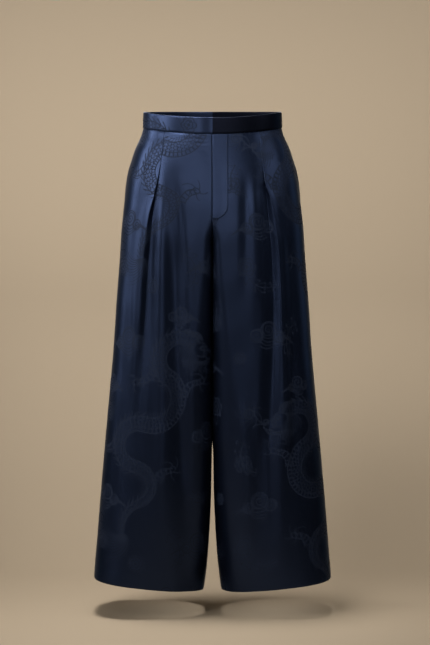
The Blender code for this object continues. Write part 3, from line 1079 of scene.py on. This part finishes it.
band = {
    "columns": 150,
    "outerPoints": 14,
    "edgePoints": 9,
    "innerPoints": 10,
    "wall": 0.0022,
    "bulge": 0.0005,
    "bulgePower": 0.6,
    "footGap": 0.0003,
    "footShare": 0.4,
    "underlapGap": 0.0003,
    "underlapPoints": 24,
    "underlapEnd": 0.001,
    "tuckEnd": 0.028,
    "sharpTurn": 60,
    "seenRow": 5,
    "clothAcross": 0.3879,
    "clothUp": 0.3534,
}


def bandPoints(drop):
    front, back = [halfSection(side, drop)[0] for side in ("front", "back")]
    path = np.concatenate([front, back[::-1][1:]])
    path[0, 0] = path[-1, 0] = 0.0
    lengths = runLengths(path)
    return pointsAt(np.linspace(0.0, lengths[-1], band["columns"]), lengths, path)


def bandProfile():
    # Drops and offsets round the waistband's cut, beginning at the foot of its outer face
    tall = cut["bandHeight"]
    half = band["wall"] / 2
    turns = np.linspace(0, math.pi, band["edgePoints"])[1:-1]
    outer = np.linspace(tall - band["footGap"], half, band["outerPoints"])
    bulge = np.sin(math.pi * np.clip((tall - outer) / tall, 0, 1)) ** band["bulgePower"]
    outerOffsets = half + band["bulge"] * bulge
    outerOffsets[0] = half * band["footShare"]
    inner = np.linspace(half, tall - band["footGap"], band["innerPoints"])
    drops = np.concatenate([outer, half - half * np.sin(turns), inner])
    return drops, np.concatenate([outerOffsets, half * np.cos(turns), np.full(len(inner), -half)])


def underlapped(drop, points):
    # The right half runs on under the left one at the front
    underX = np.linspace(-cut["bandUnderlap"], -band["underlapEnd"], band["underlapPoints"])
    front = halfSection("front", drop)[0]
    underY = np.interp(np.abs(underX), front[:, 0], front[:, 1])
    points = np.concatenate([np.stack([underX, underY], axis=1), points])
    tuck = cut["bandWall"] + band["underlapGap"]
    tucked = tuck * (1 - ease(points[:, 0] / band["tuckEnd"]))
    points[:, 1] += np.where(points[:, 1] < cut["sideLine"], tucked, 0.0)
    return points


def makeBand(hand, material):
    rows, clothRows = [], []
    for drop, shift in zip(*bandProfile()):
        points = bandPoints(drop)
        if hand == "right":
            points = underlapped(drop, points)
        flat = offset(points, shift, "front")
        kept = 0 if hand == "left" else len(points) // 2
        flat[kept:, 0] = np.maximum(flat[kept:, 0], 0.0)
        whole = placed(flat, drop, "front", hand)
        behind = flat[:, 1] > cut["sideLine"]
        whole[behind, 2] = placed(flat, drop, "back", hand)[behind, 2]
        rows.append(whole)
        across = signs[hand] * runLengths(whole) + band["clothAcross"]
        clothRows.append(flatRow(across, band["clothUp"] - drop))
    grid = np.array(rows)
    count, columns = grid.shape[:2]
    points = grid.reshape(-1, 3)
    cloth = np.array(clothRows).reshape(-1, 2)
    index = np.arange(count * columns).reshape(count, columns)
    faces = gridFaces(np.concatenate([index, index[:1]])).tolist()
    seen = band["seenRow"] * (columns - 1) + columns // 4
    away = points[faces[seen]].mean(axis=0) * (1, 1, 0)
    faces += [index[:, 0].tolist(), index[::-1, -1].tolist()]
    turn = band["sharpTurn"]
    clothPiece("waistband_" + hand, points, faces, cloth, seen, away, turn, material)


# The band's left half takes the plain satin, whose darker ground is painted shade
makeBand("left", plainPaintedShadeSatin)
makeBand("right", figuredSatin)
print("waistband made")

# The fly is cut where the figure leaves the cloth almost plain
flyLook = {
    "rows": 60,
    "tipRows": 25,
    "columns": 30,
    "start": 0.0001,
    "topGap": 0.0002,
    "gap": 0.00012,
    "wall": 0.0009,
    "tipLift": 0.0026,
    "liftStart": 0.158,
    "liftLength": 0.055,
    "tipSlope": 0.7,
    "edgeReach": 0.0015,
    "edgeThin": 0.00025,
    "centreReach": 0.0012,
    "centreThin": 0.0004,
    "clothAcross": 0.4973,
    "clothUp": 0.4835,
}


def flyRows(drop):
    # The fly piece follows the fine cloth under it and stands off a little at its tip
    share = max(drop - cut["flyStraightEnd"], 0.0) / (cut["flyTip"] - cut["flyStraightEnd"])
    curve = math.sqrt(max(1 - share * share, 0.0))
    width = cut["flyTipWidth"] + (cut["flyWidth"] - cut["flyTipWidth"]) * curve
    surface = offset(finePath("front", "left", drop)[0], weave["outerFace"], "front")
    shares = np.linspace(0, 1, flyLook["columns"])
    across = flyLook["start"] + (width - flyLook["start"]) * shares
    onPanel = np.interp(across, surface[:, 0], surface[:, 1])
    toTip = (cut["flyTip"] - drop) * flyLook["tipSlope"] + flyLook["topGap"]
    edge = np.clip(1 - np.minimum((1 - shares) * width, toTip) / flyLook["edgeReach"], 0, 1)
    centre = np.clip(1 - across / flyLook["centreReach"], 0, 1)
    lift = ease((drop - flyLook["liftStart"]) / flyLook["liftLength"])
    inner = flyLook["gap"] + flyLook["tipLift"] * lift
    thin = flyLook["edgeThin"] * edge ** 2 + flyLook["centreThin"] * centre ** 2
    rows = [
        placed(np.stack([across, onPanel - seamRoll(across) - height], axis=1), drop, "front", "left")
        for height in (inner + flyLook["wall"] - thin, inner)
    ]
    return *rows, flatRow(across + flyLook["clothAcross"], flyLook["clothUp"] - drop)


straight = np.linspace(cut["bandHeight"] + flyLook["topGap"], cut["flyStraightEnd"], flyLook["rows"])
turns = np.linspace(0, math.pi / 2, flyLook["tipRows"])[1:]
curved = cut["flyStraightEnd"] + (cut["flyTip"] - cut["flyStraightEnd"]) * np.sin(turns)
flyGrid = sweptShell("fly", np.concatenate([straight, curved]), flyRows, figuredSatin)

pocketLook = {
    "rows": 40,
    "columns": 8,
    "frontReach": 0.022,
    "backReach": 0.012,
    "outer": -0.0009,
    "inner": -0.0014,
}


def makePocket(hand, material):
    def rowsAt(drop):
        parts = []
        for side in ("front", "back"):
            path = finePath(side, hand, drop, gapes=False)[0]
            lengths = runLengths(path)
            places = lengths[-1] - np.linspace(pocketLook[side + "Reach"], 0.0, pocketLook["columns"])
            parts.append(pointsAt(places, lengths, path))
        path = np.concatenate([parts[0], parts[1][::-1][1:]])
        faces = [offset(path, pocketLook[face], "front") for face in ("outer", "inner")]
        return *[placed(face, drop, "back", hand) for face in faces], flatRow(runLengths(path), -drop)

    drops = np.linspace(cut["pocketTop"], cut["pocketBottom"], pocketLook["rows"])
    sweptShell("pocket_" + hand, drops, rowsAt, material)


for hand in ("right", "left"):
    # The pocket facings take the plain satin, whose ground is painted darker
    makePocket(hand, plainPaintedShadeSatin)
print("fly and pockets made")

stitch = {
    "spacing": 0.003,
    "length": 0.0021,
    "thickness": 0.0003,
    "onePerLine": 1.0,
    "flyRows": slice(3, -2),
    "flyColumn": -4,
    "tackColumns": slice(-3, -1),
    "tickStart": 0.006,
    "tickAside": 0.0006,
    "tickSunk": 0.0001,
    "tickSpacing": 0.0046,
    "tickLength": 0.0026,
    "tackSpacing": 0.0007,
    "tackLength": 0.0016,
    "sides": 6,
    "rings": 4,
    "colour": (0.0060, 0.0085, 0.0180, 1.0),
    "roughness": 0.5,
}


def makeStitchGroup():
    # One stitch after another along every line of the mesh
    group = bpy.data.node_groups.new("Stitch row", "GeometryNodeTree")
    face = group.interface
    for name, kind in (
        ("Geometry", "Geometry"), ("Spacing", "Float"), ("Length", "Float"),
        ("Thickness", "Float"), ("Thread", "Material"),
    ):
        face.new_socket(name, in_out="INPUT", socket_type="NodeSocket" + kind)
    face.new_socket("Geometry", in_out="OUTPUT", socket_type="NodeSocketGeometry")
    start = add(group, "NodeGroupInput", "Geometry")
    curve = add(group, "GeometryNodeMeshToCurve", "Curve", {"Mesh": start})
    spaced = {"Curve": curve, "Length": start.other("Spacing")}
    points = add(group, "GeometryNodeCurveToPoints", "Points", spaced, mode="LENGTH")
    ball = {"Segments": stitch["sides"], "Rings": stitch["rings"], "Radius": 0.5}
    thick = start.other("Thickness")
    size = {"X": thick, "Y": thick, "Z": start.other("Length")}
    row = add(group, "GeometryNodeInstanceOnPoints", "Instances", {
        "Points": points,
        "Instance": add(group, "GeometryNodeMeshUVSphere", "Mesh", ball),
        "Rotation": points.other("Rotation"),
        "Scale": add(group, "ShaderNodeCombineXYZ", "Vector", size),
    })
    plain = add(group, "GeometryNodeRealizeInstances", "Geometry", {"Geometry": row})
    dyed = {"Geometry": plain, "Material": start.other("Thread")}
    fill(group.nodes.new("NodeGroupOutput"), {"Geometry": add(group, "GeometryNodeSetMaterial", 0, dyed)})
    return group


def makeThread():
    material, tree, shader = newMaterial("thread")
    fill(shader, {"Base Color": stitch["colour"], "Roughness": stitch["roughness"]})
    return material


def makeStitches(name, lines, spacing, length):
    # lines are runs of points; each becomes a row of stitches
    mesh = bpy.data.meshes.new(name)
    corners = [list(point) for line in lines for point in line]
    edges, first = [], 0
    for line in lines:
        edges += [(first + i, first + i + 1) for i in range(len(line) - 1)]
        first += len(line)
    mesh.from_pydata(corners, edges, [])
    rows = linked(name + "_lines", mesh)
    modifier = rows.modifiers.new("Stitches", "NODES")
    modifier.node_group = stitchGroup
    values = {"Spacing": spacing, "Length": length, "Thickness": stitch["thickness"], "Thread": thread}
    for item in stitchGroup.interface.items_tree:
        if item.in_out == "INPUT" and item.name in values:
            modifier[item.identifier] = values[item.name]
    evaluated = rows.evaluated_get(bpy.context.evaluated_depsgraph_get())
    made = bpy.data.meshes.new_from_object(evaluated)
    bpy.data.objects.remove(rows, do_unlink=True)
    bpy.data.meshes.remove(mesh)
    made.shade_smooth()
    piece = linked(name, made)
    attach(piece, "root")
    print(name, len(made.polygons), "faces")


stitchGroup = makeStitchGroup()
thread = makeThread()
rightFront = panels["front_right"]["outer"]
drops = panels["front_right"]["drops"]
ticks = []
tickTop = cut["bandHeight"] + stitch["tickStart"]
for drop in np.arange(tickTop, cut["flyStraightEnd"], stitch["tickSpacing"]):
    row = rightFront[int(np.searchsorted(drops, drop))]
    tickX = np.array([-stitch["tickAside"], -stitch["tickAside"] - stitch["tickLength"]])
    tickY = np.interp(-tickX, -row[:, 0], row[:, 1]) - stitch["tickSunk"]
    ticks.append([(x, y, row[0, 2]) for x, y in zip(tickX, tickY)])
makeStitches("fly_ticks", ticks, stitch["onePerLine"], stitch["tickLength"])
seam = flyGrid[stitch["flyRows"], stitch["flyColumn"]]
makeStitches("fly_stitches", [seam], stitch["spacing"], stitch["length"])
tacks = []
for hand in ("right", "left"):
    for drop in (cut["pocketTop"], cut["pocketBottom"]):
        row = int(np.searchsorted(drops, drop))
        tacks.append(panels["front_" + hand]["outer"][row, stitch["tackColumns"]])
makeStitches("pocket_tacks", tacks, stitch["tackSpacing"], stitch["tackLength"])

stage = {
    "floor": -1.05,
    "wall": 1.05,
    "cove": 0.6,
    "covePoints": 33,
    "wide": 14.0,
    "near": -9.0,
    "tall": 7.0,
    "colour": (0.30, 0.246, 0.178, 1.0),
    "roughness": 0.9,
    "specularLevel": 0.1,
    "worldColour": (0.80, 0.74, 0.66, 1.0),
    "worldStrength": 0.05,
}


def makeBackdrop():
    cove = stage["cove"]
    profile = [
        (stage["wall"] - cove + cove * math.sin(turn), stage["floor"] + cove - cove * math.cos(turn))
        for turn in np.linspace(0, math.pi / 2, stage["covePoints"])
    ]
    profile = [(stage["near"], stage["floor"]), *profile, (stage["wall"], stage["tall"])]
    points = [(x, y, z) for y, z in profile for x in (-stage["wide"] / 2, stage["wide"] / 2)]
    faces = [(2 * i, 2 * i + 1, 2 * i + 3, 2 * i + 2) for i in range(len(profile) - 1)]
    mesh = bpy.data.meshes.new("backdrop")
    mesh.from_pydata(points, [], faces)
    mesh.shade_smooth()
    # Seen from behind, the backdrop lets the view through
    material, tree, shader = newMaterial("backdropPaint")
    turned = add(tree, "ShaderNodeNewGeometry", "Backfacing")
    clear = add(tree, "ShaderNodeBsdfTransparent", "BSDF")
    mixed = {0: turned, 1: Wire(tree, shader.outputs["BSDF"]), 2: clear}
    fill(tree.nodes["Material Output"], {"Surface": add(tree, "ShaderNodeMixShader", "Shader", mixed)})
    fill(shader, {
        "Base Color": stage["colour"],
        "Roughness": stage["roughness"],
        "Specular IOR Level": stage["specularLevel"],
    })
    mesh.materials.append(material)
    backdrop = linked("backdrop", mesh)
    return backdrop


backdrop = makeBackdrop()

# Lamps: name, place, aim, power, width, height and spread in degrees
lampColour = (1.0, 0.965, 0.935)
lamps = (
    ("key", (-1.1, -2.35, 1.95), (0, 0, 0.05), 5.5, 1.6, 1.2, 40),
    ("left", (-2.65, -1.7, 0.75), (0, 0, 0), 7.2, 2.2, 1.2, 50),
    ("front", (-0.1, -3.1, 0.3), (0, 0, -0.1), 1.35, 1.2, 1.2, 50),
    ("right", (2.6, -1.4, 1.15), (0, 0, 0.05), 1.9, 2, 1.4, 50),
    ("hipLeft", (-2.5, 0.15, 0.75), (-0.1, 0, -0.12), 0.8, 0.7, 1, 26),
    ("rimRight", (1.43, 0.66, 0.1), (0, 0, -0.2), 0.3, 0.6, 1.4, 70),
    ("wallLow", (-1.9, -0.2, 0.1), (-0.05, 1.05, -0.3), 1.8, 0.6, 0.9, 44),
    ("wallHigh", (-1.9, -0.2, 1.8), (-0.05, 1.05, -0.1), 1.4, 0.6, 0.9, 38),
    ("wallRight", (2.1, -0.1, 0.9), (0.1, 1.05, 0), 3, 0.6, 0.9, 44),
    ("wallBack", (-2.5, 0.4, 0.3), (0.1, 1.05, 0.1), 8.2, 0.4, 1.4, 60),
    ("over", (-0.3, -0.2, 2.9), (-0.2, -0.3, -1.05), 10.5, 1, 0.8, 40),
    ("floorLeft", (-1.9, -1.3, -0.3), (-0.2, -0.8, -1.05), 0.4, 0.8, 0.4, 34),
    ("rear", (-0.4, 3.4, 1.1), (0, 0, -0.1), 9, 2.4, 1.4, 60),
)


def makeLamp(name, place, aim, power, wide, tall, spreadTurn):
    data = bpy.data.lights.new(name, "AREA")
    data.shape = "RECTANGLE"
    data.size = wide
    data.size_y = tall
    data.energy = power
    data.color = lampColour
    data.spread = math.radians(spreadTurn)
    lamp = linked(name, data)
    lamp.location = place
    lamp.rotation_euler = (Vector(aim) - Vector(place)).to_track_quat("-Z", "Y").to_euler()
    return lamp


def makeLights():
    made = {row[0]: makeLamp(*row) for row in lamps}
    # The rear lamp lights the cloth's back through the backdrop and leaves the backdrop out
    leftOut = bpy.data.collections.new("leftOut")
    leftOut.objects.link(backdrop)
    leftOut.collection_objects[0].light_linking.link_state = "EXCLUDE"
    made["rear"].light_linking.receiver_collection = leftOut
    made["rear"].light_linking.blocker_collection = leftOut
    world = bpy.data.worlds.new("studio")
    world.use_nodes = True
    bpy.context.scene.world = world
    world.node_tree.nodes["Background"].inputs["Color"].default_value = stage["worldColour"]
    world.node_tree.nodes["Background"].inputs["Strength"].default_value = stage["worldStrength"]


makeLights()

# The shift is 2.5 of the frame's 645 pixels
cameraLook = {
    "place": (0.0, -5.8, 0.03),
    "tilt": 4.6238,
    "lens": 155.27,
    "sensor": 36.0,
    "shift": 2.5 / 645,
}
cameraData = bpy.data.cameras.new("camera")
cameraData.lens = cameraLook["lens"]
cameraData.sensor_width = cameraLook["sensor"]
cameraData.shift_x = cameraLook["shift"]
camera = linked("camera", cameraData)
camera.location = cameraLook["place"]
camera.rotation_euler = (math.radians(90 - cameraLook["tilt"]), 0, 0)
bpy.context.scene.camera = camera
bpy.context.scene.view_settings.view_transform = "Standard"
print("stage, lights and camera set")
